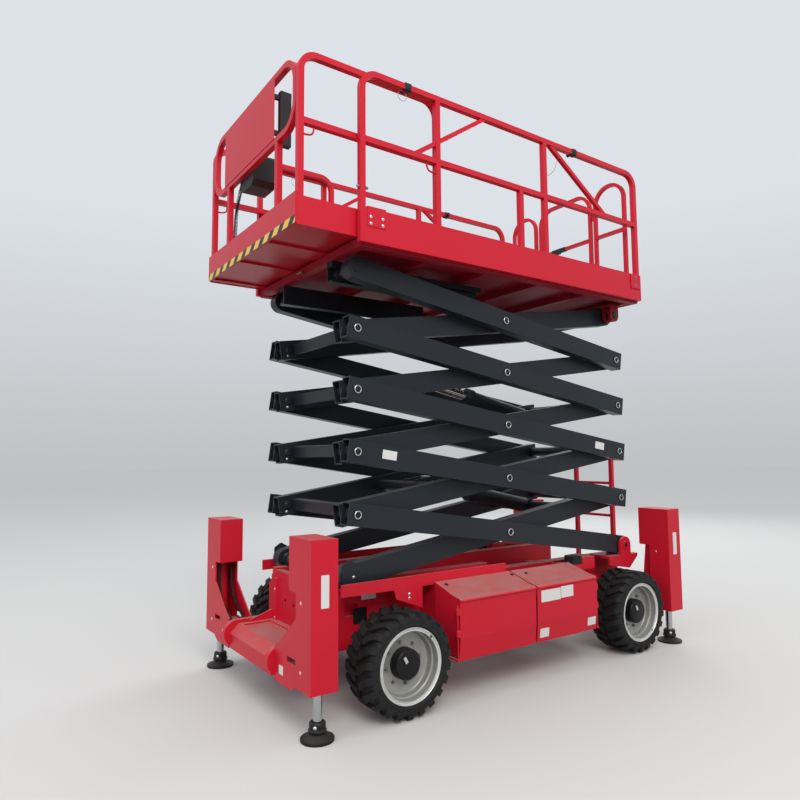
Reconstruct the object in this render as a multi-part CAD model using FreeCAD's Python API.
import FreeCAD, Part
import math
import os

os.makedirs("parts", exist_ok=True)

V = FreeCAD.Vector

# Rough-terrain scissor lift on four outriggers, standing with its stack part raised and its deck
# part extended. Millimetres. +X is forward, +Y is the left side, Z = 0 is the ground. The model is
# written about the middle between the two axles and moved to its own origin as it is saved.

# Running fits and gaps
PIN_FIT = 0.05            # radial clearance of a shaft in its bore
SEAT = 0.3                # gap between a seated piece and what carries it
SIDE_GAP = 8.0            # free space between pieces that pass each other

# Wheels
AXLE_X = 1117.0           # half of the wheelbase
TYRE_R = 313.0
TYRE_WIDTH = 290.0
TYRE_OUT_Y = 900.0        # outer face of the tyres
TYRE_BASE_R = 291.0       # tread base between the lugs
SIDEWALL_R = 268.0
BEAD_H = 14.0             # flat ring of the sidewall next to the rim
BEAD_IN = 27.0            # foot of the bead behind the tyre's face
BEAD_SEAT_IN = 45.0
BEAD_SEAT_H = 8.0         # rim's seat for the bead above its barrel
LUGS = 22                 # each side, the two rows half a pitch apart
LUG_TWIST = 14.0          # turn of a lug from the middle of the tread to its shoulder, degrees
LUG_SHOULDER_IN = 24.0    # outer end of the lugs behind the tyre's face
LUG_INNER_Y = 12.0        # inner end of the lugs from the middle of the tread
LUG_WIDE = (3.6, 5.2)     # half widths of a lug's tip and foot at the shoulder, degrees
LUG_NARROW = (2.5, 3.9)   # and at its inner end
RIM_R = 225.0
RIM_BARREL_R = 192.0
RIM_WALL = 8.0
RIM_DISC_T = 14.0
RIM_DISC_DEPTH = 95.0     # disc behind the outer flange
RIM_SET_IN = 10.0         # outer flange behind the tyre's face
HUB_R = 92.0
HUB_STEP_R = 60.0
HUB_LENGTH = 70.0

# Axles and steering
KINGPIN_Y = 695.0
KINGPIN_R = 22.0
AXLE_HALF = 48.0          # half width of the axle beam, along X
AXLE_DEPTH = 110.0
YOKE_REACH = 62.0         # yoke end beyond the beam end
YOKE_T = 26.0
YOKE_GAP = 118.0          # clear height between the yoke's two plates
KNUCKLE_R = 38.0
STUB_R = 45.0

# Scissor stack
LEVELS = 5
ARM_L = 2640.0            # pin to pin
REST_DEG = 8.58           # angle of the arms above level, as photographed
PIVOT_X = -1291.0         # rear foot pin
PIVOT_Z = 797.0
ARM_DEPTH = 145.0
ARM_W = 92.0
ARM_WALL = 8.0
ARM_OVERHANG = 68.0       # arm end beyond its pin
# Plate on the lowest inner arms: distances back from the front pin, heights as shares of the arm's depth
DOUBLER = ((430.0, -0.3), (400.0, -0.45), (60.0, -0.45), (0.0, -0.36),
           (0.0, 0.36), (60.0, 0.45), (330.0, 0.45), (430.0, 0.1))
DOUBLER_T = 3.0
OUTER_ARM_Y = 609.0       # outer face of the outer arms
SHAFT_R = 32.0
BUSH_R = 47.0
TUBE_R = 44.0             # cross tubes between the inner arms
SHAFT_PROUD = 4.0
ROLLER_R = 45.0
ROLLER_W = 50.0
ROLLER_GAP = 6.0

# Lift cylinders
CYL_LEVELS = (1, 3)       # lower level of each cylinder
CYL_REAR_REACH = 800.0    # lower crossbar behind the arms' middle
CYL_FRONT_REACH = 300.0   # rod's eye ahead of the next arms' middle
CYL_R = 62.0
CYL_ROD_R = 38.0
CYL_EYE_R = 55.0
CYL_EYE_W = 110.0
CYL_PIN_R = 28.0
CYL_BARREL_L = 700.0
CYL_GLAND_R = 72.0
CYL_GLAND_L = 60.0
CYL_LUG_T = 20.0
CYL_LUG_REACH = 170.0     # upper crossbar beyond the rod's eye

# Chassis
FRAME_Y_IN = 340.0
FRAME_Y_OUT = 430.0
FRAME_BOTTOM = 330.0
FRAME_TOP = 700.0
TRACK_FLOOR_T = 15.0
TRACK_LIP_T = 12.0
TRACK_LIP_TOP = 775.0
TRACK_REAR_X = 70.0
TRACK_FRONT_X = 1356.0
POCKET_X = 1262.0         # pocket in the outer face of each frame
POCKET_Z = 572.0
POCKET_HALF = (51.0, 38.0)
POCKET_DEPTH = 30.0
SKIRT_T = 10.0            # plate under the edge of the track
SKIRT = ((1050.0, 700.0), (1033.0, 641.0), (824.0, 562.0), (824.0, 700.0))
REST_BLOCK_X = (-920.0, -770.0)   # stands for the folded stack
REST_BLOCK_Z = (640.0, 735.0)
REST_SHELF_X = -655.0
REST_SHELF_T = 45.0
REST_PAD_TOP = 750.0
FRAME_FRONT_X = 1435.0
FRAME_REAR_X = -1450.0
FRONT_PLATE_T = 20.0
FRONT_PLATE_TOP = 745.0
FRONT_PLATE_SHOULDER = 640.0
FRONT_PLATE_TOP_Y = 310.0
FRONT_PLATE_BOTTOM = 300.0
FRONT_PLATE_LIP = 30.0
STRIP_Y = (275.0, 390.0)  # bolted strips on the front plate
STRIP_Z = (380.0, 625.0, 690.0)
STRIP_T = 12.0
KEYHOLE = (-148.0, 551.0)
KEYHOLE_R = 15.0
KEYHOLE_SLOT = 34.0
PLATE_HOLE = (-15.0, 542.0)
PLATE_HOLE_W = 26.0
CROSS_T = 80.0
AXLE_MEMBER_Z = (400.0, 560.0)
MID_MEMBER_Z = (330.0, 430.0)
MID_MEMBER_X = (60.0, -560.0)
EAR_R = 68.0
EAR_T = 20.0
EAR_BASE_T = 22.0
EAR_BASE_X = (-1450.0, -1080.0)

# Outrigger columns, feet
COLUMN_TOP = 1095.0
COLUMN_FOOT = 263.0
CAP_FOOT = 786.0
FRONT_COLUMN_X = (1602.0, 1772.0)
REAR_COLUMN_X = (-1668.0, -1506.0)
COLUMN_OUT_Y = 865.0
CAP_IN_Y = 585.0
COLUMN_IN_Y = 680.0
REAR_COLUMN_SET_OUT = 35.0   # rear columns and legs further out than the front ones
COLUMN_WALL = 10.0
LEG_Y = 785.0
LEG_R = 26.0
LEG_TUBE_R = 44.0
LEG_TUBE_TOP = 960.0
LEG_TUBE_FOOT = 300.0
PAD_R = 95.0
PAD_T = 14.0
PAD_NECK_R = 34.0
PAD_NECK_TOP = 96.0
PAD_DOME = 24.0
LEG_TOP = 780.0

# Front beam between the outriggers
BEAM_REACH = 321.0        # ahead of the front plate
BEAM_TOP = 400.0
BEAM_FOOT = 245.0
BEAM_EDGE = 60.0          # sloped front edge of the beam
BEAM_PANEL_IN = (45.0, 76.0)      # shallow recess in the top of the beam, behind and ahead of it
BEAM_PANEL_Y = 300.0
BEAM_PANEL_DEPTH = 10.0
FLARE_FOOT = 232.0        # plates that carry the columns
FLARE_LIFT = 30.0
FLARE_TOP_Z = 640.0
FLARE_KNEE = (450.0, 460.0)
FLARE_IN_Z = 430.0
FLARE_SLOT_Y = (566.0, 676.0)
FLARE_SLOT_Z = (380.0, 413.0)
GUSSET_T = 12.0
GUSSET_TOP_Z = 470.0
GUSSET_X = 1640.0
TIE_LUG_Y = 350.0
TIE_LUG_T = 40.0
TIE_LUG_R = 90.0
TIE_LUG_Z = 333.0
TIE_LUG_NOSE_X = 1818.0
TIE_LUG_HOLE_R = 26.0
REAR_BEAM_X = (-1640.0, -1540.0)
REAR_BEAM_Z = (285.0, 460.0)
UPRIGHT_Y = (620.0, 655.0)        # foot and top of the uprights' inboard edge

# Side compartments
HOOD_FRONT_X = 730.0
HOOD_SPLIT_X = 42.0
HOOD_REAR_X = -594.0
HOOD_OUT_Y = 880.0
HOOD_IN_Y = 617.0
HOOD_FOOT = 264.0
HOOD_EDGE_Z = 639.0
HOOD_TOP_Z = 718.0
HOOD_TUCK = 14.0          # lower third of the face leans in
HOOD_TUCK_Z = 400.0
HOOD_T = 6.0
HOOD_GAP = 14.0
TRAY_T = 10.0
HINGE_OUT = 12.0          # hinge pin's axis from the hood's corner, outwards and inboard
HINGE_PIN_R = 5.0
HINGE_PLATE = 16.0
HINGE_Z = (415.0, 550.0)
HINGE_L = 40.0
TRAY_TOP = 560.0

# Ladder
LADDER_BAR = 34.0
LADDER_Y = (-170.0, 240.0)
LADDER_FOOT = 330.0
LADDER_TOP = 1650.0
LADDER_RUNGS = 5
LADDER_RUNG_R = 13.0

# Platform
DECK_PAST_PINS = (81.0, 84.546)   # rear and front ends of the deck beyond the stack's pins
DECK_Y = 825.0
FLOOR_OVER_PIN = 138.6    # deck floor above the stack's top pins
DECK_FLOOR_T = 6.0
SIDE_BELOW = 43.0         # heights below and above the deck floor
SIDE_ABOVE = 175.0
DECK_BEAM_BELOW = 60.0
DECK_BEAM_W = 60.0
CORNER_PLATE_IN = (161.0, 26.0)   # behind the deck's front end
CORNER_PLATE_ABOVE = (60.0, 185.0)
CORNER_PLATE_T = 4.0
SIDE_FLANGE = 38.0
REAR_FLANGE = 62.0
SHEET = 6.0
RIBS = 6
RIB_DEPTH = 48.0
RIB_W = 60.0
GUIDE_T = 14.0
GUIDE_REAR_X = 85.0
GUIDE_FRONT_IN = 6.0
BRACKET_R = 55.0
BRACKET_T = 25.0
RAIL = 38.0
RAIL_ABOVE = 1075.0
MID_RAIL_ABOVE = 615.0
TALL_POST_IN = 587.0      # behind the deck's front end
TALL_POST_AHEAD = 1150.0  # ahead of its rear end
SHORT_POST_AHEAD = 1409.0
BRACE = 30.0
BRACES_IN = (387.0, 1032.0)      # foot on the middle rail and head under the top rail, behind the front end
BRACES_AHEAD = (429.0, 1099.0)   # and ahead of the rear end
BEND_R = 110.0
HOOP_BAR = 30.0
HOOP_BEND = 150.0
FENCE_Y = ((410.0, 715.0), (-620.0, -320.0))
GATE_Y = (-255.0, 350.0)
GATE_HINGES_ABOVE = (345.0, 795.0)

# Extension deck
EXT_OUT = 433.0           # extension's front ahead of the main deck's, as photographed
EXT_Y = 765.0
EXT_LENGTH = 1500.0
EXT_FLOOR_ABOVE = 27.0
EXT_FLOOR_T = 8.0
EXT_STIFFENER_T = 14.0
EXT_STIFFENERS_Y = ((-345.0, -150.0), (170.0, 345.0))
EXT_TOE_ABOVE = (7.0, 195.0)
EXT_SIDE_ABOVE = 177.0
EXT_TOE_T = 14.0
EXT_FLANGE = 40.0
EXT_RAIL_ABOVE = 1090.0
EXT_MID_ABOVE = 645.0
EXT_RAIL_LENGTH = 1062.0  # rear posts behind the front edge
LOOP_BEND = 150.0         # corners of the front frame
LOOP_GAP = 5.0            # between the front frame and the corner posts
FRONT_POSTS_Y = (-410.0, 445.0)
PANEL_Y = (-477.0, 420.0)
PANEL_T = 3.0
PANEL_SET = 20.0          # panel's edges inside the front frame's top and over its middle rail
BOX_DEPTH = 170.0
# Control box seen from the front: Y, and height above the front frame's middle rail
BOX_SHAPE = ((-255.0, 110.0), (-255.0, 70.0), (-215.0, -30.0), (-150.0, -85.0), (-60.0, -108.0),
             (95.0, -108.0), (135.0, -95.0), (150.0, -60.0), (150.0, 110.0))
TUBE_Y = (385.0, 505.0)   # document holder beside the panel
TUBE_ABOVE = (-15.0, 345.0)
TUBE_DEPTH = 75.0
TUBE_EDGE = 22.0
GLAND_R = 22.0
GLAND_L = 14.0
CABLE_R = 15.0            # over the turns of the coiled cable from the control box to the deck
CABLE_EXIT_UP = 90.0
CABLE_LEVEL_Y = -430.0    # end of the level stretch at the control box
CABLE_ROUTE = ((-560.0, 570.0), (-590.0, 350.0), (-600.0, 140.0))   # Y, and height above the deck

# Values that follow from the sizes above
REST = math.radians(REST_DEG)
LEVEL_H = ARM_L * math.sin(REST)
SPAN = ARM_L * math.cos(REST)
OUT_Y1 = OUTER_ARM_Y
OUT_Y0 = OUTER_ARM_Y - ARM_W
IN_Y1 = OUT_Y0 - SIDE_GAP
IN_Y0 = IN_Y1 - ARM_W
ROLLER_Y1 = IN_Y0 - ROLLER_GAP
ROLLER_Y0 = ROLLER_Y1 - ROLLER_W
TRACK_TOP = PIVOT_Z - ROLLER_R - SEAT
TOP_PIN_Z = PIVOT_Z + LEVELS * LEVEL_H
DECK_FLOOR_Z = TOP_PIN_Z + FLOOR_OVER_PIN
SIDE_FOOT = DECK_FLOOR_Z - SIDE_BELOW
SIDE_TOP = DECK_FLOOR_Z + SIDE_ABOVE
DECK_BEAM_FOOT = DECK_FLOOR_Z - DECK_BEAM_BELOW
RAIL_TOP = DECK_FLOOR_Z + RAIL_ABOVE
RAIL_MID = DECK_FLOOR_Z + MID_RAIL_ABOVE
EXT_FLOOR_Z = DECK_FLOOR_Z + EXT_FLOOR_ABOVE
EXT_TOE_FOOT, EXT_TOE_TOP = DECK_FLOOR_Z + EXT_TOE_ABOVE[0], DECK_FLOOR_Z + EXT_TOE_ABOVE[1]
EXT_SIDE_TOP = DECK_FLOOR_Z + EXT_SIDE_ABOVE
EXT_RAIL_TOP = DECK_FLOOR_Z + EXT_RAIL_ABOVE
EXT_RAIL_MID = DECK_FLOOR_Z + EXT_MID_ABOVE
FRONT_PIN_X = PIVOT_X + SPAN
DECK_REAR_X, DECK_FRONT_X = PIVOT_X - DECK_PAST_PINS[0], FRONT_PIN_X + DECK_PAST_PINS[1]
EXT_FRONT_X = DECK_FRONT_X + EXT_OUT
TALL_POSTS = (DECK_FRONT_X - TALL_POST_IN, DECK_REAR_X + TALL_POST_AHEAD)
SHORT_POST = DECK_REAR_X + SHORT_POST_AHEAD
BRACES = ([DECK_FRONT_X - x for x in BRACES_IN], [DECK_REAR_X + x for x in BRACES_AHEAD])
WHEEL_Z = TYRE_R
WHEEL_Y = TYRE_OUT_Y - TYRE_WIDTH / 2
LEG_FRONT_X = sum(FRONT_COLUMN_X) / 2
LEG_REAR_X = sum(REAR_COLUMN_X) / 2
ORIGIN_X = (EXT_FRONT_X + LEG_REAR_X - PAD_R) / 2


def save(name, *solids):
    shape = solids[0] if len(solids) == 1 else Part.makeCompound(list(solids))
    moved = shape.copy()
    moved.translate(V(-ORIGIN_X, 0, 0))
    moved.exportStep(f"parts/{name}.step")


def box(x0, x1, y0, y1, z0, z1):
    return Part.makeBox(x1 - x0, y1 - y0, z1 - z0, V(x0, y0, z0))


def rod(p, q, r):
    p, q = V(*p), V(*q)
    return Part.makeCylinder(r, (q - p).Length, p, q - p)


def cross_rod(x, z, y0, y1, r):
    return rod((x, y0, z), (x, y1, z), r)


def standing_rod(x, y, z0, z1, r):
    return rod((x, y, z0), (x, y, z1), r)


def both_sides(shape):
    return shape, shape.mirror(V(0, 0, 0), V(0, 1, 0))


def mirrored(shape):
    return shape.mirror(V(0, 0, 0), V(0, 1, 0))


def slab_xz(points, y0, y1):
    outline = Part.makePolygon([V(x, y0, z) for x, z in points + points[:1]])
    return Part.Face(outline).extrude(V(0, y1 - y0, 0))


def slab_yz(points, x0, x1):
    outline = Part.makePolygon([V(x0, y, z) for y, z in points + points[:1]])
    return Part.Face(outline).extrude(V(x1 - x0, 0, 0))


def fused(first, *others):
    return first.fuse(list(others)).removeSplitter()


def rounded_path(corners, bends):
    """Straight runs joined by arcs, one bend radius for each inner corner."""
    edges = []
    start = corners[0]
    for before, corner, after, bend in zip(corners, corners[1:], corners[2:], bends):
        into = (corner - before).normalize()
        out = (after - corner).normalize()
        half_turn = into.getAngle(out) / 2
        cut = bend * math.tan(half_turn)
        a = corner - into * cut
        b = corner + out * cut
        chord = (out - into).normalize()
        middle = corner + chord * (bend / math.cos(half_turn) - bend)
        edges += [Part.LineSegment(start, a).toShape(), Part.Arc(a, middle, b).toShape()]
        start = b
    edges.append(Part.LineSegment(start, corners[-1]).toShape())
    return Part.Wire(edges)


def square_tube(points, bend, width=RAIL):
    """Square bar along straight runs in one plane, its corners rounded to the bend radius."""
    corners = [V(*p) for p in points]
    path = rounded_path(corners, [bend] * (len(corners) - 2))
    along = (corners[1] - corners[0]).normalize()
    plane = (corners[1] - corners[0]).cross(corners[-1] - corners[1])
    side = plane.normalize() if plane.Length > 1 else along.cross(V(0, 1, 0)).normalize()
    up = along.cross(side).normalize()
    half = width / 2
    ring = [corners[0] + side * (a * half) + up * (b * half) for a, b in ((-1, -1), (1, -1), (1, 1), (-1, 1))]
    return path.makePipeShell([Part.makePolygon(ring + ring[:1])], True, False)


def bar(p, q, width=RAIL, depth=None):
    """Straight bar from p to q in a plane along X or Y and Z."""
    p, q = V(*p), V(*q)
    along = (q - p).normalize()
    side = V(0, 1, 0) if abs(along.y) < 0.5 else V(1, 0, 0)
    up = side.cross(along)
    half, tall = width / 2, (depth or width) / 2
    ring = [p + side * (a * half) + up * (b * tall) for a, b in ((-1, -1), (1, -1), (1, 1), (-1, 1))]
    return Part.Face(Part.makePolygon(ring + ring[:1])).extrude(q - p)


# Chassis: two box frames whose upper flange is the track of the stack's front rollers

def side_frame():
    frame = box(FRAME_REAR_X, FRAME_FRONT_X, FRAME_Y_IN, FRAME_Y_OUT, FRAME_BOTTOM, FRAME_TOP)
    floor_top = FRAME_TOP + TRACK_FLOOR_T
    track = slab_yz([(FRAME_Y_IN, FRAME_TOP), (OUTER_ARM_Y, FRAME_TOP), (OUTER_ARM_Y, TRACK_LIP_TOP),
                     (OUTER_ARM_Y - TRACK_LIP_T, TRACK_LIP_TOP), (OUTER_ARM_Y - TRACK_LIP_T, floor_top),
                     (IN_Y0 - ROLLER_GAP / 2, floor_top), (IN_Y0 - ROLLER_GAP / 2, TRACK_TOP),
                     (FRAME_Y_IN, TRACK_TOP)], TRACK_REAR_X, TRACK_FRONT_X)
    track_end = box(TRACK_FRONT_X, FRAME_FRONT_X, FRAME_Y_IN, IN_Y0 - ROLLER_GAP / 2, FRAME_TOP, TRACK_TOP)
    skirt = slab_xz(list(SKIRT), OUTER_ARM_Y - SKIRT_T, OUTER_ARM_Y)
    shelf_top = REST_BLOCK_Z[0] + REST_SHELF_T
    rest = fused(box(*REST_BLOCK_X, FRAME_Y_OUT, OUTER_ARM_Y, *REST_BLOCK_Z),
                 box(REST_BLOCK_X[1], REST_SHELF_X, FRAME_Y_OUT, OUTER_ARM_Y, REST_BLOCK_Z[0], shelf_top))
    half_long, half_tall = POCKET_HALF
    pocket = box(POCKET_X - half_long, POCKET_X + half_long, FRAME_Y_OUT - POCKET_DEPTH, FRAME_Y_OUT,
                 POCKET_Z - half_tall, POCKET_Z + half_tall)
    notches = [box(x - AXLE_HALF - SEAT, x + AXLE_HALF + SEAT, FRAME_Y_IN - 1, FRAME_Y_OUT + 1,
                   FRAME_BOTTOM - 1, WHEEL_Z + AXLE_DEPTH / 2 + SEAT) for x in (AXLE_X, -AXLE_X)]
    return fused(frame, track, track_end, skirt, rest).cut(pocket).cut(notches)


save("side_frames", *both_sides(side_frame()))
rest_pad = box(REST_BLOCK_X[1] + SIDE_GAP, REST_SHELF_X - SIDE_GAP, OUT_Y0, OUT_Y1,
               REST_BLOCK_Z[0] + REST_SHELF_T + SEAT, REST_PAD_TOP)
save("rest_pads", *both_sides(rest_pad))

# Cross members between the frames: place along X, foot and top
cross_members = []
for x, (z0, z1) in ((AXLE_X, AXLE_MEMBER_Z), (MID_MEMBER_X[0], MID_MEMBER_Z), (MID_MEMBER_X[1], MID_MEMBER_Z),
                    (-AXLE_X, AXLE_MEMBER_Z)):
    cross_members.append(box(x - CROSS_T / 2, x + CROSS_T / 2, -FRAME_Y_IN + SEAT, FRAME_Y_IN - SEAT, z0, z1))
save("cross_members", *cross_members)

# Front plate with chamfered shoulders, a lip bent back at its top, bolted strips and two holes
plate_face = FRAME_FRONT_X + FRONT_PLATE_T
front_plate = slab_yz([(-FRAME_Y_OUT, FRONT_PLATE_BOTTOM), (FRAME_Y_OUT, FRONT_PLATE_BOTTOM),
                       (FRAME_Y_OUT, FRONT_PLATE_SHOULDER), (FRONT_PLATE_TOP_Y, FRAME_TOP),
                       (FRONT_PLATE_TOP_Y, FRONT_PLATE_TOP), (-FRONT_PLATE_TOP_Y, FRONT_PLATE_TOP),
                       (-FRONT_PLATE_TOP_Y, FRAME_TOP), (-FRAME_Y_OUT, FRONT_PLATE_SHOULDER)],
                      FRAME_FRONT_X + SEAT, plate_face)
lip = box(FRAME_FRONT_X - FRONT_PLATE_LIP, plate_face, -FRONT_PLATE_TOP_Y, FRONT_PLATE_TOP_Y,
          FRONT_PLATE_TOP - SHEET, FRONT_PLATE_TOP)
strip = slab_yz([(STRIP_Y[0], STRIP_Z[0]), (STRIP_Y[1], STRIP_Z[0]), (STRIP_Y[1], STRIP_Z[1]),
                 (FRONT_PLATE_TOP_Y, STRIP_Z[2]), (STRIP_Y[0], STRIP_Z[2])], plate_face, plate_face + STRIP_T)
key_y, key_z = KEYHOLE
keyhole = rod((FRAME_FRONT_X, key_y, key_z), (plate_face, key_y, key_z), KEYHOLE_R)
key_slot = box(FRAME_FRONT_X, plate_face, key_y - KEYHOLE_R / 2, key_y + KEYHOLE_R / 2,
               key_z - KEYHOLE_SLOT, key_z)
hole_y, hole_z = PLATE_HOLE
plate_hole = box(FRAME_FRONT_X, plate_face, hole_y - PLATE_HOLE_W / 2, hole_y + PLATE_HOLE_W / 2,
                 hole_z - PLATE_HOLE_W / 2, hole_z + PLATE_HOLE_W / 2)
front_plate = fused(front_plate, lip, *both_sides(strip)).cut([fused(keyhole, key_slot), plate_hole])

# Beam across the front, with a tie-down lug plate and a gusset each side
beam_front_x = plate_face + BEAM_REACH
lug_x, lug_out = TIE_LUG_NOSE_X - TIE_LUG_R, TIE_LUG_Y + TIE_LUG_T
beam = slab_xz([(plate_face, BEAM_FOOT), (beam_front_x, BEAM_FOOT), (beam_front_x, BEAM_TOP - BEAM_EDGE),
                (beam_front_x - BEAM_EDGE, BEAM_TOP), (plate_face, BEAM_TOP)], -TIE_LUG_Y, TIE_LUG_Y)
panel_x0, panel_x1 = plate_face + BEAM_PANEL_IN[0], beam_front_x - BEAM_PANEL_IN[1]
beam = beam.cut(box(panel_x0, panel_x1, -BEAM_PANEL_Y, BEAM_PANEL_Y, BEAM_TOP - BEAM_PANEL_DEPTH, BEAM_TOP))
lug = box(plate_face, lug_x, TIE_LUG_Y, lug_out, TIE_LUG_Z - TIE_LUG_R, TIE_LUG_Z + TIE_LUG_R)
lug = fused(lug, cross_rod(lug_x, TIE_LUG_Z, TIE_LUG_Y, lug_out, TIE_LUG_R))
gusset = slab_xz([(plate_face, BEAM_TOP), (GUSSET_X, BEAM_TOP), (GUSSET_X, BEAM_TOP + GUSSET_T),
                  (plate_face, GUSSET_TOP_Z)], TIE_LUG_Y - GUSSET_T, TIE_LUG_Y)
flare_gap = COLUMN_WALL + SEAT
arm = box(FRONT_COLUMN_X[0] + flare_gap, FRONT_COLUMN_X[1] - flare_gap, lug_out, COLUMN_IN_Y - SEAT,
          FLARE_FOOT + FLARE_LIFT, FLARE_SLOT_Z[0] - SIDE_GAP)
hole = cross_rod(lug_x, TIE_LUG_Z, TIE_LUG_Y - TIE_LUG_R, lug_out + 1, TIE_LUG_HOLE_R)
lug = fused(lug, gusset, arm).cut(hole)
beam = beam.cut([hole, mirrored(hole)])
save("front_beam", fused(front_plate, beam, lug, mirrored(lug)))

# Beam across the rear, between the rear columns
rear_end_y = COLUMN_IN_Y + REAR_COLUMN_SET_OUT - SEAT
rear_beam = box(*REAR_BEAM_X, -rear_end_y, rear_end_y, *REAR_BEAM_Z)
rear_arm = box(REAR_BEAM_X[1], FRAME_REAR_X - SEAT, FRAME_Y_IN, FRAME_Y_OUT, *REAR_BEAM_Z)
end_plate = box(*REAR_COLUMN_X, rear_end_y - FRONT_PLATE_T, rear_end_y, *REAR_BEAM_Z)
upright = slab_yz([(UPRIGHT_Y[0], REAR_BEAM_Z[1]), (rear_end_y, REAR_BEAM_Z[1]),
                   (rear_end_y, CAP_FOOT - SEAT), (UPRIGHT_Y[1], CAP_FOOT - SEAT)], *REAR_BEAM_X)
rear_side = fused(rear_arm, end_plate, upright)
save("rear_beam", fused(rear_beam, rear_side, mirrored(rear_side)))

# Brackets for the stack's rear foot pins: an ear each side of the outer arm on a gusseted base

def pivot_bracket():
    base_top = PIVOT_Z - ARM_DEPTH / 2 - SIDE_GAP
    y0, y1 = FRAME_Y_OUT + SEAT, OUT_Y1 + SIDE_GAP + EAR_T
    base = slab_xz([(EAR_BASE_X[0], base_top), (EAR_BASE_X[0], base_top - EAR_BASE_T),
                    (EAR_BASE_X[0] + 110, base_top - 115), (EAR_BASE_X[1], base_top - 70),
                    (EAR_BASE_X[1], base_top)], y0, y1)
    base = base.cut(box(EAR_BASE_X[0] - 1, EAR_BASE_X[1] + 1, y0 + 20, y1 - 20,
                        base_top - 200, base_top - EAR_BASE_T))
    ears = []
    for ear_y in (OUT_Y1 + SIDE_GAP, OUT_Y0 - SIDE_GAP - EAR_T):
        ear = box(PIVOT_X - EAR_R, PIVOT_X + EAR_R, ear_y, ear_y + EAR_T, base_top, PIVOT_Z)
        ear = fused(ear, cross_rod(PIVOT_X, PIVOT_Z, ear_y, ear_y + EAR_T, EAR_R))
        ears.append(ear)
    pin = cross_rod(PIVOT_X, PIVOT_Z, OUT_Y0 - SIDE_GAP - EAR_T - 6, OUT_Y1 + SIDE_GAP + EAR_T + 6, SHAFT_R)
    return fused(base, *ears, pin)


save("pivot_brackets", *both_sides(pivot_bracket()))

# Axles: a beam under the frames, a forked end at the front for the kingpins

def yoke():
    y0 = KINGPIN_Y - YOKE_REACH - 30
    plates = []
    for z in (WHEEL_Z + YOKE_GAP / 2, WHEEL_Z - YOKE_GAP / 2 - YOKE_T):
        plate = box(AXLE_X - AXLE_HALF, AXLE_X + AXLE_HALF, y0, KINGPIN_Y, z, z + YOKE_T)
        plate = fused(plate, Part.makeCylinder(AXLE_HALF, YOKE_T, V(AXLE_X, KINGPIN_Y, z)))
        plates.append(plate.cut(Part.makeCylinder(KINGPIN_R + PIN_FIT, YOKE_T, V(AXLE_X, KINGPIN_Y, z))))
    back = box(AXLE_X - AXLE_HALF, AXLE_X + AXLE_HALF, y0 - 30, y0,
               WHEEL_Z - YOKE_GAP / 2 - YOKE_T, WHEEL_Z + YOKE_GAP / 2 + YOKE_T)
    return fused(back, *plates)


axle_z0, axle_z1 = WHEEL_Z - AXLE_DEPTH / 2, WHEEL_Z + AXLE_DEPTH / 2
yoke_back = KINGPIN_Y - YOKE_REACH - 60
front_axle = box(AXLE_X - AXLE_HALF, AXLE_X + AXLE_HALF, -yoke_back, yoke_back, axle_z0, axle_z1)
front_yoke = yoke()
saddles = []
for x in (AXLE_X, -AXLE_X):
    saddle = box(x - AXLE_HALF, x + AXLE_HALF, FRAME_Y_IN - 200, FRAME_Y_IN - SEAT,
                 axle_z1, AXLE_MEMBER_Z[0] - SEAT)
    saddles.append(saddle)
front_axle = fused(front_axle, front_yoke, mirrored(front_yoke), saddles[0], mirrored(saddles[0]))
rear_hub_y = TYRE_OUT_Y - RIM_SET_IN - RIM_DISC_DEPTH - RIM_DISC_T - SEAT
rear_axle = box(-AXLE_X - AXLE_HALF, -AXLE_X + AXLE_HALF, -yoke_back, yoke_back, axle_z0, axle_z1)
rear_stub = cross_rod(-AXLE_X, WHEEL_Z, yoke_back, rear_hub_y, AXLE_DEPTH / 2)
rear_axle = fused(rear_axle, rear_stub, mirrored(rear_stub), saddles[1], mirrored(saddles[1]))
save("axles", front_axle, rear_axle)

# Front knuckles: kingpin barrel between the yoke plates, with the drive hub's stub
half_gap = YOKE_GAP / 2
half_pin = half_gap + YOKE_T + SHAFT_PROUD
knuckle = standing_rod(AXLE_X, KINGPIN_Y, WHEEL_Z - half_gap + SEAT, WHEEL_Z + half_gap - SEAT, KNUCKLE_R)
kingpin = standing_rod(AXLE_X, KINGPIN_Y, WHEEL_Z - half_pin, WHEEL_Z + half_pin, KINGPIN_R)
stub = cross_rod(AXLE_X, WHEEL_Z, KINGPIN_Y, rear_hub_y, STUB_R)
knuckle = fused(knuckle, kingpin, stub)
save("knuckle_left", knuckle)
save("knuckle_right", mirrored(knuckle))

# Wheels: deep-dish rim with its hub cover, and a tyre with chevron lugs

def rim(x):
    face = TYRE_OUT_Y - RIM_SET_IN
    disc = face - RIM_DISC_DEPTH
    back = TYRE_OUT_Y - TYRE_WIDTH + RIM_SET_IN
    outline = [(RIM_BARREL_R - RIM_WALL, face - 26), (RIM_R - 6, face - 8), (RIM_R, face), (RIM_R, face - 16),
               (RIM_BARREL_R + BEAD_SEAT_H, face - 34), (RIM_BARREL_R, face - 60), (RIM_BARREL_R, back + 40),
               (RIM_R - 6, back + 12), (RIM_R - 6, back), (RIM_BARREL_R - RIM_WALL, back + 30),
               (RIM_BARREL_R - RIM_WALL, disc - RIM_DISC_T), (0, disc - RIM_DISC_T),
               (0, disc + HUB_LENGTH), (HUB_STEP_R, disc + HUB_LENGTH), (HUB_R, disc + HUB_LENGTH - 18),
               (HUB_R, disc), (RIM_BARREL_R - RIM_WALL, disc)]
    wire = Part.makePolygon([V(x + r, y, WHEEL_Z) for r, y in outline + outline[:1]])
    return Part.Face(wire).revolve(V(x, 0, WHEEL_Z), V(0, 1, 0), 360)


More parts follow.
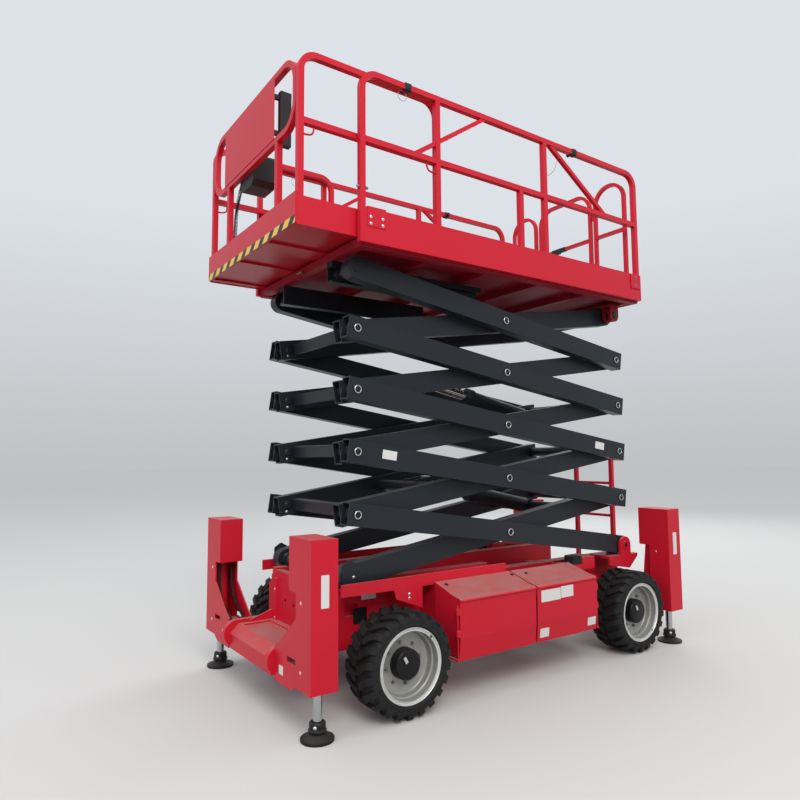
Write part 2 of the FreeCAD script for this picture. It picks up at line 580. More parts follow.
def tyre(x):
    """Carcass in flat facets with two rows of slanted lugs, half a pitch apart."""
    half = TYRE_WIDTH / 2
    pitch = 360.0 / LUGS
    inside = 1 / math.cos(math.radians(pitch / 4))
    bead_r, seat_r = (RIM_R + SEAT) * inside, (RIM_BARREL_R + BEAD_SEAT_H + SEAT) * inside
    faces = []

    def point(radius, y, turn):
        turn = math.radians(turn)
        return V(x + radius * math.cos(turn), WHEEL_Y + y, WHEEL_Z + radius * math.sin(turn))

    def plain(radius, y, turn):
        return [point(radius, y, turn + (number - 0.5) * pitch / 2) for number in range(2 * LUGS)]

    def toothed(y, turn, tip, foot):
        row = []
        for number in range(LUGS):
            at = turn + number * pitch
            row.append([point(TYRE_BASE_R, y, at - foot), point(TYRE_R, y, at - tip),
                        point(TYRE_R, y, at + tip), point(TYRE_BASE_R, y, at + foot)])
        return row

    def facet(*corners):
        faces.append(Part.Face(Part.makePolygon(list(corners) + [corners[0]])))

    profile = [(SIDEWALL_R, half), (bead_r + BEAD_H, half), (bead_r, half - BEAD_IN),
               (seat_r, half - BEAD_SEAT_IN)]
    profile += [(radius, -y) for radius, y in reversed(profile)]
    rows = [plain(radius, y, LUG_TWIST) for radius, y in profile]
    for row, after in zip(rows, rows[1:]):
        for number in range(2 * LUGS):
            facet(row[number - 1], row[number], after[number], after[number - 1])
    centre = plain(TYRE_BASE_R, 0, 0)
    for side, shoulder, step in ((1, rows[0], 0), (-1, rows[-1], 1)):
        shift = step * pitch / 2
        outer = toothed(side * (half - LUG_SHOULDER_IN), LUG_TWIST + shift, *LUG_WIDE)
        inner = toothed(side * LUG_INNER_Y, shift, *LUG_NARROW)
        for number in range(LUGS):
            first = 2 * number + step
            for teeth, ring in ((outer, shoulder), (inner, centre)):
                foot0, tip0, tip1, foot1 = teeth[number]
                next_foot = teeth[(number + 1) % LUGS][0]
                a, b, c = (ring[(first + k) % (2 * LUGS)] for k in range(3))
                for corners in ((a, b, tip1), (a, tip1, tip0), (a, tip0, foot0),
                                (b, foot1, tip1), (b, c, next_foot), (b, next_foot, foot1)):
                    facet(*corners)
            edge_out = outer[number] + [outer[(number + 1) % LUGS][0]]
            edge_in = inner[number] + [inner[(number + 1) % LUGS][0]]
            for a, b, c, d in zip(edge_out, edge_out[1:], edge_in[1:], edge_in):
                facet(a, b, c)
                facet(a, c, d)
    shell = Part.makeShell(faces)
    shell.sewShape()
    solid = Part.Solid(shell)
    return solid if solid.Volume > 0 else solid.reversed()


for end, x in (("front", AXLE_X), ("rear", -AXLE_X)):
    left_rim, left_tyre = rim(x), tyre(x)
    save(f"rim_{end}_left", left_rim)
    save(f"rim_{end}_right", mirrored(left_rim))
    save(f"tyre_{end}_left", left_tyre)
    save(f"tyre_{end}_right", mirrored(left_tyre))

# Outrigger columns: a cap over a narrower channel that is open inboard, with the cylinder tube

def column(x_range, leg_x):
    x0, x1 = x_range
    cap = box(x0, x1, CAP_IN_Y, COLUMN_OUT_Y, CAP_FOOT, COLUMN_TOP)
    post = box(x0, x1, COLUMN_IN_Y, COLUMN_OUT_Y, COLUMN_FOOT, CAP_FOOT)
    channel = box(x0 + COLUMN_WALL, x1 - COLUMN_WALL, COLUMN_IN_Y - 1, COLUMN_OUT_Y - COLUMN_WALL,
                  COLUMN_FOOT - 1, CAP_FOOT + 1)
    tube = Part.makeCylinder(LEG_TUBE_R, CAP_FOOT + 1 - LEG_TUBE_FOOT, V(leg_x, LEG_Y, LEG_TUBE_FOOT))
    web = box(x0 + COLUMN_WALL, x1 - COLUMN_WALL, LEG_Y, COLUMN_OUT_Y - COLUMN_WALL,
              LEG_TUBE_FOOT + 20, LEG_TUBE_FOOT + 60)
    bore = Part.makeCylinder(LEG_R + PIN_FIT, LEG_TUBE_TOP - LEG_TUBE_FOOT, V(leg_x, LEG_Y, LEG_TUBE_FOOT))
    return fused(cap, post.cut(channel), tube, web).cut(bore)


front_column = column(FRONT_COLUMN_X, LEG_FRONT_X)
rear_column = column(REAR_COLUMN_X, LEG_REAR_X)
rear_column.translate(V(0, REAR_COLUMN_SET_OUT, 0))
flares = []
flare_y = lug_out + SEAT
for x0 in (FRONT_COLUMN_X[0], FRONT_COLUMN_X[1] - COLUMN_WALL):
    x1 = x0 + COLUMN_WALL
    flare = slab_yz([(COLUMN_IN_Y, COLUMN_FOOT), (COLUMN_IN_Y, FLARE_TOP_Z), FLARE_KNEE, (flare_y, FLARE_IN_Z),
                     (flare_y, FLARE_FOOT), (COLUMN_IN_Y - 2 * FLARE_LIFT, FLARE_FOOT)], x0, x1)
    flares.append(flare.cut(box(x0, x1, *FLARE_SLOT_Y, *FLARE_SLOT_Z)))
front_column = fused(front_column, *flares)
save("outrigger_columns", *both_sides(front_column), *both_sides(rear_column))

# Outrigger legs: rod and swivel foot, one body each
for end, leg_x, leg_y in (("front", LEG_FRONT_X, LEG_Y), ("rear", LEG_REAR_X, LEG_Y + REAR_COLUMN_SET_OUT)):
    leg = Part.makeCylinder(LEG_R, LEG_TOP - PAD_T, V(leg_x, leg_y, PAD_T))
    foot = Part.makeCylinder(PAD_R, PAD_T, V(leg_x, leg_y, 0))
    dome = Part.makeCone(PAD_R - PAD_T, PAD_NECK_R + SIDE_GAP, PAD_DOME, V(leg_x, leg_y, PAD_T))
    neck = Part.makeCylinder(PAD_NECK_R, PAD_NECK_TOP - PAD_T, V(leg_x, leg_y, PAD_T))
    leg = fused(leg, foot, dome, neck)
    save(f"outrigger_leg_{end}_left", leg)
    save(f"outrigger_leg_{end}_right", mirrored(leg))

# Side compartments: a tray each side, the power units on them, and two hoods each side

def tray():
    foot = HOOD_FOOT + 4
    x0, x1 = HOOD_REAR_X + 12, HOOD_FRONT_X - 12
    floor = box(x0, x1, FRAME_Y_OUT + SEAT, HOOD_OUT_Y - 40, foot, foot + TRAY_T)
    hanger = box(x0, x1, FRAME_Y_OUT + SEAT, FRAME_Y_OUT + 6, foot, FRAME_TOP - SEAT)
    ends = [box(x, x + 6, FRAME_Y_OUT + SEAT, HOOD_IN_Y - 8, foot, FRAME_TOP - SEAT) for x in (x0, x1 - 6)]
    hinges = []
    pin_y, half_plate = HOOD_OUT_Y - HINGE_OUT, HINGE_PLATE / 2
    for pin_x, wall_x, ahead in ((HOOD_REAR_X - HINGE_OUT, x0, -1), (HOOD_FRONT_X + HINGE_OUT, x1, 1)):
        low, high = sorted((pin_x + ahead * half_plate, wall_x))
        hinges.append(box(low, high, HOOD_OUT_Y - 100, HOOD_OUT_Y - 45, foot, foot + TRAY_T))
        hinges.append(box(pin_x - half_plate, pin_x + half_plate, HOOD_OUT_Y - 100, pin_y + half_plate,
                          foot, foot + TRAY_T))
        hinges.append(standing_rod(pin_x, pin_y, foot, HOOD_EDGE_Z - 30, HINGE_PIN_R))
    return fused(floor, hanger, *ends, *hinges)


save("side_trays", *both_sides(tray()))

# Power units: one block each side, out of the way of the hoods' end walls as they swing
hood_depth = HOOD_OUT_Y - HOOD_IN_Y + HOOD_GAP
power_unit = box(HOOD_REAR_X + hood_depth, HOOD_FRONT_X - hood_depth, FRAME_Y_OUT + 60, HOOD_OUT_Y - 90,
                 HOOD_FOOT + 4 + TRAY_T + SEAT, TRAY_TOP)
save("power_units", *both_sides(power_unit))


def hood(x0, x1, wall_x):
    """Face, sloped lid and one end wall, bent from sheet."""
    foot_y = HOOD_OUT_Y - HOOD_TUCK
    outer = [(HOOD_IN_Y, HOOD_TOP_Z), (HOOD_OUT_Y - 22, HOOD_EDGE_Z + 8), (HOOD_OUT_Y, HOOD_EDGE_Z - 14),
             (HOOD_OUT_Y, HOOD_TUCK_Z), (foot_y, HOOD_FOOT), (foot_y - HOOD_T, HOOD_FOOT),
             (HOOD_OUT_Y - HOOD_T, HOOD_TUCK_Z), (HOOD_OUT_Y - HOOD_T, HOOD_EDGE_Z - 16),
             (HOOD_OUT_Y - 25, HOOD_EDGE_Z + 2), (HOOD_IN_Y, HOOD_TOP_Z - HOOD_T)]
    shell = slab_yz(outer, x0, x1)
    wall_foot = HOOD_FOOT + 4 + TRAY_T + 6
    mid_y = HOOD_OUT_Y - HOOD_T / 2
    wall = slab_yz([(HOOD_IN_Y, HOOD_TOP_Z - HOOD_T / 2), (HOOD_OUT_Y - 24, HOOD_EDGE_Z + 4),
                    (mid_y, HOOD_EDGE_Z - 15), (mid_y, HOOD_TUCK_Z), (mid_y - HOOD_TUCK, wall_foot),
                    (HOOD_IN_Y, wall_foot)],
                   wall_x, wall_x + HOOD_T)
    ahead = 1 if wall_x > x0 else -1
    edge_x = x1 if ahead > 0 else x0
    pin_x, pin_y = edge_x + ahead * HINGE_OUT, HOOD_OUT_Y - HINGE_OUT
    solid = fused(shell, wall)
    for z in HINGE_Z:
        low, high = sorted((edge_x - ahead * 10, pin_x))
        leaf = box(low, high, HOOD_OUT_Y - HOOD_T, HOOD_OUT_Y, z, z + HINGE_L)
        solid = fused(solid, leaf, Part.makeCylinder(HINGE_OUT, HINGE_L, V(pin_x, pin_y, z)))
        solid = solid.cut(Part.makeCylinder(HINGE_PIN_R + PIN_FIT, HINGE_L, V(pin_x, pin_y, z)))
    return solid


hood_front = hood(HOOD_SPLIT_X + HOOD_GAP / 2, HOOD_FRONT_X, HOOD_FRONT_X - HOOD_T)
hood_rear = hood(HOOD_REAR_X, HOOD_SPLIT_X - HOOD_GAP / 2, HOOD_REAR_X)
save("hood_front_left", hood_front)
save("hood_front_right", mirrored(hood_front))
save("hood_rear_left", hood_rear)
save("hood_rear_right", mirrored(hood_rear))

# Ladder up to the lowered deck, on the rear beam
ladder_x = REAR_BEAM_X[0] - SEAT - LADDER_BAR / 2
rung_end = LADDER_BAR / 2 + SEAT
stringers = [bar((ladder_x, y, LADDER_FOOT), (ladder_x, y, LADDER_TOP), LADDER_BAR) for y in LADDER_Y]
rung_step = (LADDER_TOP - 60 - LADDER_FOOT - 60) / (LADDER_RUNGS - 1)
rungs = [rod((ladder_x, LADDER_Y[0] + rung_end, LADDER_FOOT + 60 + number * rung_step),
             (ladder_x, LADDER_Y[1] - rung_end, LADDER_FOOT + 60 + number * rung_step), LADDER_RUNG_R)
         for number in range(LADDER_RUNGS)]
save("entry_ladder", *stringers, *rungs)


# Scissor stack: in each level the outer arms rise forward and the inner arms rise rearward

def arm_pair(mid_x, mid_z, tilt, y0, y1, fit, round_rear=False, round_front=False, doubler=False):
    """A hollow arm each side; the tilt is the arm's angle above level towards the front."""
    half = ARM_L / 2
    x0 = -half if round_rear else -half - ARM_OVERHANG
    x1 = half if round_front else half + ARM_OVERHANG
    arm = box(x0, x1, y0, y1, -ARM_DEPTH / 2, ARM_DEPTH / 2)
    arm = arm.cut(box(x0 - 1, x1 + 1, y0 + ARM_WALL, y1 - ARM_WALL,
                      -ARM_DEPTH / 2 + ARM_WALL, ARM_DEPTH / 2 - ARM_WALL))
    ends = [cross_rod(x, 0, y0, y1, ARM_DEPTH / 2)
            for x, rounded in ((-half, round_rear), (half, round_front)) if rounded]
    bushes = [cross_rod(x, 0, y0, y1, BUSH_R) for x in (-half, 0.0, half)]
    arm = fused(arm, *ends, *bushes)
    if doubler:
        plate = [(half - along, up * ARM_DEPTH) for along, up in DOUBLER]
        arm = fused(arm, slab_xz(plate, y1, y1 + DOUBLER_T))
    for x in (-half, 0.0, half):
        arm = arm.cut(cross_rod(x, 0, y0 - 1, y1 + DOUBLER_T, SHAFT_R + fit))
    arm.rotate(V(0, 0, 0), V(0, 1, 0), -tilt)
    arm.translate(V(mid_x, 0, mid_z))
    return both_sides(arm)


def on_inner_arm(level, forward):
    """Point on the axis of a level's inner arms, by its distance ahead of their middle."""
    mid_z = PIVOT_Z + (level - 0.5) * LEVEL_H
    return MID_X + forward * math.cos(REST), mid_z - forward * math.sin(REST)


def crossbar_with_pin(level):
    """Tube between the inner arms, turned down at its middle to carry a barrel's eye."""
    x, z = on_inner_arm(level, -CYL_REAR_REACH)
    grip = max(CYL_EYE_W / 2, CYL_R) + SIDE_GAP
    ends = both_sides(cross_rod(x, z, grip, IN_Y0 - SEAT, TUBE_R))
    return fused(cross_rod(x, z, -grip, grip, CYL_PIN_R), *ends)


def crossbar_with_lugs(level):
    """Tube between the inner arms with two lugs that reach back to a rod's eye."""
    x, z = on_inner_arm(level, CYL_FRONT_REACH + CYL_LUG_REACH)
    eye_x, eye_z = on_inner_arm(level, CYL_FRONT_REACH)
    bar_solid = cross_rod(x, z, -IN_Y0 + SEAT, IN_Y0 - SEAT, TUBE_R)
    lugs = []
    y0 = CYL_EYE_W / 2 + 7
    for y in (y0, -y0 - CYL_LUG_T):
        plate = box(0, CYL_LUG_REACH, y, y + CYL_LUG_T, -CYL_EYE_R, CYL_EYE_R)
        plate = fused(plate, cross_rod(0, 0, y, y + CYL_LUG_T, CYL_EYE_R))
        plate = plate.cut(cross_rod(0, 0, y - 1, y + CYL_LUG_T + 1, CYL_PIN_R))
        plate.rotate(V(0, 0, 0), V(0, 1, 0), REST_DEG)
        plate.translate(V(eye_x, 0, eye_z))
        lugs.append(plate)
    return fused(bar_solid, *lugs)


MID_X = PIVOT_X + SPAN / 2
for level in range(1, LEVELS + 1):
    mid_z = PIVOT_Z + (level - 0.5) * LEVEL_H
    front_z, rear_z = mid_z - LEVEL_H / 2, mid_z + LEVEL_H / 2
    top, bottom = level == LEVELS, level == 1
    save(f"outer_arms_{level}", *arm_pair(MID_X, mid_z, REST_DEG, OUT_Y0, OUT_Y1, PIN_FIT,
                                          round_rear=bottom, round_front=top))
    save(f"inner_arms_{level}", *arm_pair(MID_X, mid_z, -REST_DEG, IN_Y0, IN_Y1, PIN_FIT,
                                          round_rear=top, round_front=bottom, doubler=bottom))
    shafts = []
    for x, z, end in ((FRONT_PIN_X, front_z, "front"), (PIVOT_X, rear_z, "rear")):
        on_track = bottom and end == "front"
        reach = IN_Y1 + SHAFT_PROUD if on_track else OUT_Y1 + SHAFT_PROUD
        inboard = FRAME_Y_IN - SIDE_GAP if on_track else IN_Y0 - SEAT
        shaft = fused(cross_rod(x, z, -reach, reach, SHAFT_R), cross_rod(x, z, -inboard, inboard, TUBE_R))
        if on_track:
            shaft = fused(shaft, *both_sides(cross_rod(x, z, ROLLER_Y0, ROLLER_Y1, ROLLER_R)))
        shafts.append(shaft)
    shafts += both_sides(cross_rod(MID_X, mid_z, IN_Y0 - SHAFT_PROUD, OUT_Y1 + SHAFT_PROUD, SHAFT_R))
    if level in CYL_LEVELS:
        shafts.append(crossbar_with_pin(level))
    if level - 1 in CYL_LEVELS:
        shafts.append(crossbar_with_lugs(level))
    save(f"arm_shafts_{level}", *shafts)

# Rollers at the front of the top outer arms, in the deck's guides
top_shaft = cross_rod(FRONT_PIN_X, TOP_PIN_Z, ROLLER_Y0, OUT_Y1 + SHAFT_PROUD, SHAFT_R)
top_roller = cross_rod(FRONT_PIN_X, TOP_PIN_Z, ROLLER_Y0, ROLLER_Y1, ROLLER_R)
save("top_rollers", *both_sides(fused(top_shaft, top_roller)))

# Lift cylinders, from one level's inner arms up and forward to the next level's
for name, level in zip(("lower", "upper"), CYL_LEVELS):
    foot_x, foot_z = on_inner_arm(level, -CYL_REAR_REACH)
    eye_x, eye_z = on_inner_arm(level + 1, CYL_FRONT_REACH)
    length = math.hypot(eye_x - foot_x, eye_z - foot_z)
    rise = math.degrees(math.atan2(eye_z - foot_z, eye_x - foot_x))
    half_eye = CYL_EYE_W / 2
    barrel = fused(cross_rod(0, 0, -half_eye, half_eye, CYL_EYE_R),
                   rod((CYL_EYE_R - 25, 0, 0), (CYL_BARREL_L, 0, 0), CYL_R),
                   rod((CYL_BARREL_L - CYL_GLAND_L, 0, 0), (CYL_BARREL_L, 0, 0), CYL_GLAND_R))
    barrel = barrel.cut(cross_rod(0, 0, -half_eye, half_eye, CYL_PIN_R + PIN_FIT))
    barrel = barrel.cut(rod((CYL_EYE_R + 60, 0, 0), (CYL_BARREL_L, 0, 0), CYL_ROD_R + PIN_FIT))
    ram = fused(rod((CYL_BARREL_L / 2, 0, 0), (length - CYL_EYE_R + 20, 0, 0), CYL_ROD_R),
                cross_rod(length, 0, -half_eye, half_eye, CYL_EYE_R))
    ram = ram.cut(cross_rod(length, 0, -half_eye, half_eye, CYL_PIN_R))
    for piece in (barrel, ram):
        piece.rotate(V(0, 0, 0), V(0, 1, 0), -rise)
        piece.translate(V(foot_x, 0, foot_z))
    save(f"{name}_cylinder_barrel", barrel)
    save(f"{name}_cylinder_rod", ram)


# Main deck: floor on ribs between two long beams, with the brackets for the stack's rear top pins

POST_Y = DECK_Y - RAIL / 2
rib_top = DECK_FLOOR_Z - DECK_FLOOR_T
deck_y = DECK_Y - SIDE_FLANGE - SEAT
deck = box(DECK_REAR_X + SHEET, DECK_FRONT_X, -deck_y, deck_y, rib_top, DECK_FLOOR_Z)
rib_step = (DECK_FRONT_X - DECK_REAR_X - SHEET - RIB_W) / (RIBS - 1)
for number in range(RIBS):
    x0 = DECK_REAR_X + SHEET + number * rib_step
    deck = deck.fuse(box(x0, x0 + RIB_W, -deck_y, deck_y, rib_top - RIB_DEPTH, rib_top))
for beam_side in (-deck_y, deck_y - DECK_BEAM_W):
    deck = deck.fuse(box(DECK_REAR_X + SHEET, DECK_FRONT_X, beam_side, beam_side + DECK_BEAM_W,
                         DECK_BEAM_FOOT, rib_top))


def platform_bracket():
    ears = []
    for y in (OUT_Y1 - BRACKET_T, OUT_Y0 + 4):
        ear = box(PIVOT_X - BRACKET_R, PIVOT_X + BRACKET_R, y, y + BRACKET_T, TOP_PIN_Z, rib_top - RIB_DEPTH)
        ear = fused(ear, cross_rod(PIVOT_X, TOP_PIN_Z, y, y + BRACKET_T, BRACKET_R))
        ears.append(ear.cut(cross_rod(PIVOT_X, TOP_PIN_Z, y, y + BRACKET_T, SHAFT_R + PIN_FIT)))
    plate = box(DECK_REAR_X + SHEET, PIVOT_X + BRACKET_R + 30, OUT_Y0 - 10, OUT_Y1 + 20,
                rib_top - RIB_DEPTH - 4, rib_top - RIB_DEPTH + 6)
    return fused(plate, *ears)


bracket = platform_bracket()
save("main_deck", fused(deck, bracket, mirrored(bracket)))

# Guides for the top rollers, C-channels open outboard


def roller_guide():
    y0, y1 = ROLLER_Y0 - 6 - GUIDE_T, ROLLER_Y1
    z0, z1 = TOP_PIN_Z - ROLLER_R - SEAT, TOP_PIN_Z + ROLLER_R + SEAT
    hanger_top = rib_top - RIB_DEPTH - SEAT
    return slab_yz([(y0, z0 - GUIDE_T), (y1, z0 - GUIDE_T), (y1, z0), (y0 + GUIDE_T, z0), (y0 + GUIDE_T, z1),
                    (y1, z1), (y1, hanger_top), (y0, hanger_top)], GUIDE_REAR_X, DECK_FRONT_X - GUIDE_FRONT_IN)


save("roller_guides", *both_sides(roller_guide()))

# Sides of the main deck: C-channels that stand above the floor as toe boards, and the rear board
side = slab_yz([(DECK_Y - SIDE_FLANGE, SIDE_FOOT), (DECK_Y, SIDE_FOOT), (DECK_Y, SIDE_TOP),
                (DECK_Y - SIDE_FLANGE, SIDE_TOP), (DECK_Y - SIDE_FLANGE, SIDE_TOP - SHEET),
                (DECK_Y - SHEET, SIDE_TOP - SHEET), (DECK_Y - SHEET, SIDE_FOOT + SHEET),
                (DECK_Y - SIDE_FLANGE, SIDE_FOOT + SHEET)], DECK_REAR_X, DECK_FRONT_X - 14)
plate_z = [DECK_FLOOR_Z + above for above in CORNER_PLATE_ABOVE]
plate_y = DECK_Y + CORNER_PLATE_T
plate_x = [DECK_FRONT_X - x for x in CORNER_PLATE_IN]
side = fused(side, box(*plate_x, DECK_Y, plate_y, *plate_z),
             box(*plate_x, DECK_Y - SIDE_FLANGE, plate_y, plate_z[1] - CORNER_PLATE_T, plate_z[1]))
rear_y = DECK_Y - SIDE_FLANGE - SEAT
rear_board = fused(box(DECK_REAR_X, DECK_REAR_X + SHEET - SEAT, -rear_y, rear_y, DECK_BEAM_FOOT, SIDE_TOP),
                   box(DECK_REAR_X, DECK_REAR_X + REAR_FLANGE, -rear_y, rear_y, SIDE_TOP - SHEET, SIDE_TOP))
save("deck_sides", *both_sides(side), rear_board)

# Guard rails of the main deck. Posts: place along X, foot and top
half_rail = RAIL / 2
top_z = RAIL_TOP - half_rail
front_post_x, rear_post_x = DECK_FRONT_X + 5, DECK_REAR_X + 36
rails = []
for post_x, inward, foot in ((front_post_x, -1, SIDE_FOOT), (rear_post_x, 1, SIDE_TOP + SEAT)):
    rails.append(square_tube([(post_x, POST_Y, foot), (post_x, POST_Y, top_z),
                              (post_x + inward * (BEND_R + 1), POST_Y, top_z)], BEND_R))
hoop_front, hoop_rear = front_post_x - BEND_R - 1 - SEAT, rear_post_x + BEND_R + 1 + SEAT
rails.append(bar((hoop_rear, POST_Y, top_z), (hoop_front, POST_Y, top_z)))
mid_z1 = RAIL_MID - half_rail - SEAT
posts = [bar((x, POST_Y, SIDE_TOP + SEAT), (x, POST_Y, top_z - half_rail - SEAT)) for x in TALL_POSTS]
posts.append(bar((SHORT_POST, POST_Y, SIDE_TOP + SEAT), (SHORT_POST, POST_Y, mid_z1)))
stops = [front_post_x] + sorted(TALL_POSTS, reverse=True) + [rear_post_x]
beside = half_rail + SEAT
middle_rails = [bar((behind + beside, POST_Y, RAIL_MID), (ahead - beside, POST_Y, RAIL_MID))
                for ahead, behind in zip(stops, stops[1:])]
room = [box(x - beside, x + beside, POST_Y - RAIL, POST_Y + RAIL, SIDE_TOP, RAIL_TOP) for x in TALL_POSTS]
room += [box(DECK_REAR_X, DECK_FRONT_X, POST_Y - RAIL, POST_Y + RAIL, z0, z1)
         for z0, z1 in ((SIDE_TOP, RAIL_MID + half_rail + SEAT), (RAIL_TOP - RAIL - SEAT, RAIL_TOP + RAIL))]
braces = []
for foot_x, head_x in BRACES:
    brace = bar((foot_x, POST_Y, RAIL_MID), (head_x, POST_Y, top_z), BRACE)
    braces += brace.cut(room).Solids
rails += posts + middle_rails + braces
save("main_rails", *rails, *[mirrored(piece) for piece in rails])

# Rear side: two fixed hoops and the entry gate between them, which swings inwards on two pins


def hoop(y0, y1, foot):
    bend = min(HOOP_BEND, (y1 - y0) / 2 - 1)
    return square_tube([(rear_post_x, y0, foot), (rear_post_x, y0, top_z), (rear_post_x, y1, top_z),
                        (rear_post_x, y1, foot)], bend, HOOP_BAR)


fence = []
for y0, y1 in FENCE_Y:
    cross_end = HOOP_BAR / 2 + SEAT
    fence.append(hoop(y0, y1, SIDE_TOP + SEAT))
    fence.append(bar((rear_post_x, y0 + cross_end, RAIL_MID), (rear_post_x, y1 - cross_end, RAIL_MID),
                     HOOP_BAR))
hinge_post = fence[0]
gate = fused(hoop(*GATE_Y, SIDE_TOP + SIDE_GAP),
             bar((rear_post_x, GATE_Y[0], RAIL_MID), (rear_post_x, GATE_Y[1], RAIL_MID), HOOP_BAR))
gate_pin_y = (GATE_Y[1] + FENCE_Y[0][0]) / 2
for z in (DECK_FLOOR_Z + above for above in GATE_HINGES_ABOVE):
    plate = box(rear_post_x - 8, rear_post_x + 8, gate_pin_y - 8, FENCE_Y[0][0], z - 8, z)
    hinge_pin = standing_rod(rear_post_x, gate_pin_y, z - 8, z + HINGE_L - 2, HINGE_PIN_R)
    hinge_post = fused(hinge_post, plate, hinge_pin)
    barrel_z = z + SEAT
    leaf = box(rear_post_x - 4, rear_post_x + 4, GATE_Y[1], gate_pin_y, barrel_z, barrel_z + HINGE_L)
    hinge_barrel, hinge_bore = [standing_rod(rear_post_x, gate_pin_y, barrel_z, barrel_z + HINGE_L, r)
                                for r in (HINGE_PIN_R + 5, HINGE_PIN_R + PIN_FIT)]
    gate = fused(gate, leaf, hinge_barrel).cut(hinge_bore)
save("rear_fence", hinge_post, *fence[1:])
save("entry_gate", gate)

# Extension deck: floor with side boards that slide on the main floor, and a front toe board
ext_rear_x = EXT_FRONT_X - EXT_LENGTH
board_back = EXT_FRONT_X - EXT_TOE_T - SEAT
board_in = EXT_Y - EXT_TOE_T - SEAT
floor_foot = EXT_FLOOR_Z - EXT_FLOOR_T
ext_floor = box(ext_rear_x, board_back, -board_in, board_in, floor_foot, EXT_FLOOR_Z)
stiffeners = [box(ext_rear_x, board_back, y0, y1, floor_foot - EXT_STIFFENER_T, floor_foot)
              for y0, y1 in (*EXT_STIFFENERS_Y, (-board_in, RIB_W - board_in), (board_in - RIB_W, board_in))]
board_foot, flange_y = DECK_FLOOR_Z + SEAT, EXT_Y - EXT_FLANGE
web_y = EXT_Y - EXT_TOE_T
side_board = slab_yz([(web_y, board_foot), (EXT_Y, board_foot), (EXT_Y, EXT_SIDE_TOP),
                      (flange_y, EXT_SIDE_TOP), (flange_y, EXT_SIDE_TOP - SHEET), (web_y, EXT_SIDE_TOP - SHEET)],
                     ext_rear_x, board_back)
front_board = box(EXT_FRONT_X - EXT_TOE_T, EXT_FRONT_X, -EXT_Y, EXT_Y, EXT_TOE_FOOT, EXT_TOE_TOP)
ext_front_post_x = EXT_FRONT_X - EXT_TOE_T - RAIL / 2 - 2 * SEAT - PANEL_T
box_x1 = ext_front_post_x - RAIL / 2 - SEAT
cable_x, cable_foot_y = box_x1 - BOX_DEPTH / 2, CABLE_ROUTE[-1][0]
deck_gland = standing_rod(cable_x, cable_foot_y, EXT_FLOOR_Z, EXT_FLOOR_Z + GLAND_L, GLAND_R)
save("extension_deck", fused(ext_floor, *stiffeners, deck_gland), *both_sides(side_board), front_board)

# Extension rails: a side frame each side, and a front frame with round corners on two short posts
ext_post_y = EXT_Y - half_rail
ext_top_z = EXT_RAIL_TOP - half_rail
ext_rear_post_x = EXT_FRONT_X - EXT_RAIL_LENGTH
ext_rails = []
for post_x, inward in ((ext_front_post_x, -1), (ext_rear_post_x, 1)):
    ext_rails.append(square_tube([(post_x, ext_post_y, EXT_SIDE_TOP + SEAT), (post_x, ext_post_y, ext_top_z),
                                  (post_x + inward * (BEND_R + 1), ext_post_y, ext_top_z)], BEND_R))
ext_rails.append(bar((ext_rear_post_x + BEND_R + 1 + SEAT, ext_post_y, ext_top_z),
                     (ext_front_post_x - BEND_R - 1 - SEAT, ext_post_y, ext_top_z)))
ext_rails.append(bar((ext_rear_post_x + half_rail + SEAT, ext_post_y, EXT_RAIL_MID),
                     (ext_front_post_x - half_rail - SEAT, ext_post_y, EXT_RAIL_MID)))
loop_y = ext_post_y - RAIL - LOOP_GAP
loop_middle = (ext_top_z + EXT_RAIL_MID) / 2
loop = [square_tube([(ext_front_post_x, -loop_y, loop_middle), (ext_front_post_x, -loop_y, z),
                     (ext_front_post_x, loop_y, z), (ext_front_post_x, loop_y, loop_middle)], LOOP_BEND)
        for z in (ext_top_z, EXT_RAIL_MID)]
ties = [bar((ext_front_post_x, loop_y + half_rail, z), (ext_front_post_x, ext_post_y - beside, z), RAIL / 2)
        for z in (ext_top_z - LOOP_BEND, EXT_RAIL_MID + LOOP_BEND)]
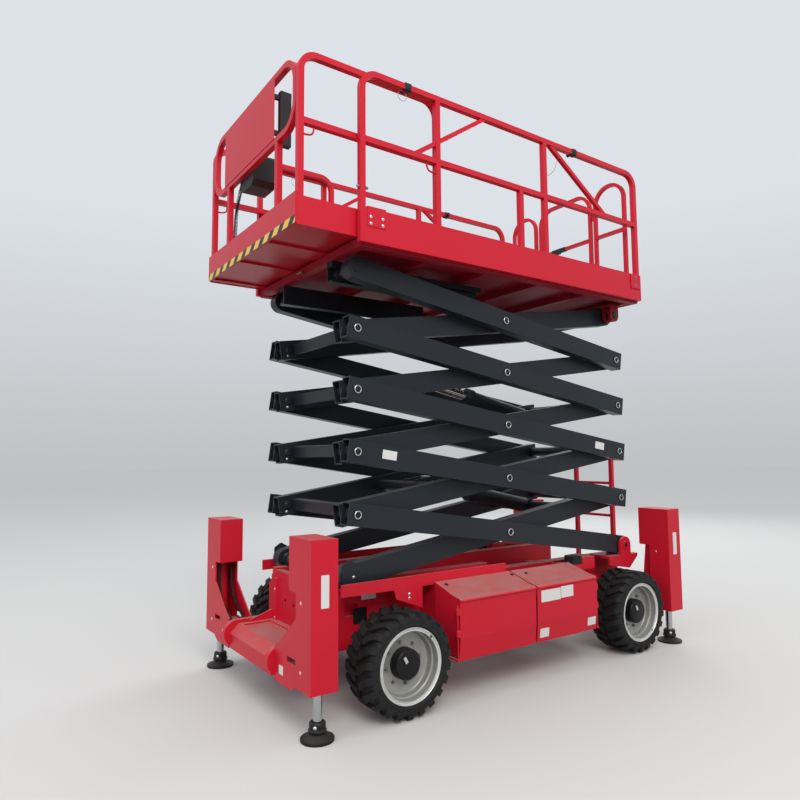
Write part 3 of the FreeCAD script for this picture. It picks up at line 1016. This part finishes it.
short = [bar((ext_front_post_x, y, EXT_FLOOR_Z + SEAT), (ext_front_post_x, y, EXT_RAIL_MID - beside))
         for y in FRONT_POSTS_Y]
save("extension_rails", *ext_rails, *[mirrored(piece) for piece in ext_rails],
     fused(*loop, *ties, *[mirrored(tie) for tie in ties]), *short)

# Blank sign panel on the front frame, the control box and the document holder hung inside it
panel_x = ext_front_post_x + beside
save("sign_panel", box(panel_x, panel_x + PANEL_T, *PANEL_Y,
                       EXT_RAIL_MID + PANEL_SET + half_rail, EXT_RAIL_TOP - PANEL_SET))
control_box = slab_yz([(y, EXT_RAIL_MID + up) for y, up in BOX_SHAPE], box_x1 - BOX_DEPTH, box_x1)
box_side_y, exit_z = BOX_SHAPE[0][0], EXT_RAIL_MID + CABLE_EXIT_UP
box_gland = cross_rod(cable_x, exit_z, box_side_y - GLAND_L, box_side_y, GLAND_R)
holder = box(box_x1 - TUBE_DEPTH, box_x1, *TUBE_Y, EXT_RAIL_MID + TUBE_ABOVE[0], EXT_RAIL_MID + TUBE_ABOVE[1])
edges = [edge for edge in holder.Edges if edge.BoundBox.YMin > TUBE_Y[1] - 1]
save("control_box", fused(control_box, box_gland), holder.makeFillet(TUBE_EDGE, edges))

# Coiled cable from the control box to the deck, as one tube over its turns
route = [(box_side_y - GLAND_L, exit_z), (CABLE_LEVEL_Y, exit_z)]
route += [(y, DECK_FLOOR_Z + up) for y, up in CABLE_ROUTE]
route.append((cable_foot_y, EXT_FLOOR_Z + GLAND_L))
corners = [V(cable_x, y, z) for y, z in route]
runs = [after - before for before, after in zip(corners, corners[1:])]
bends = [0.45 * min(a.Length, b.Length) / math.tan(a.getAngle(b) / 2) for a, b in zip(runs, runs[1:])]
cable_path = rounded_path(corners, bends)
ring = Part.Wire(Part.makeCircle(CABLE_R, corners[0], runs[0]))
cable = cable_path.makePipeShell([ring], True, False)
tube_volume = math.pi * CABLE_R ** 2 * cable_path.Length
print("cable bends", [round(bend) for bend in bends], "length", round(cable_path.Length),
      "volume against section by length", round(cable.Volume / tube_volume, 4))
save("control_cable", cable)
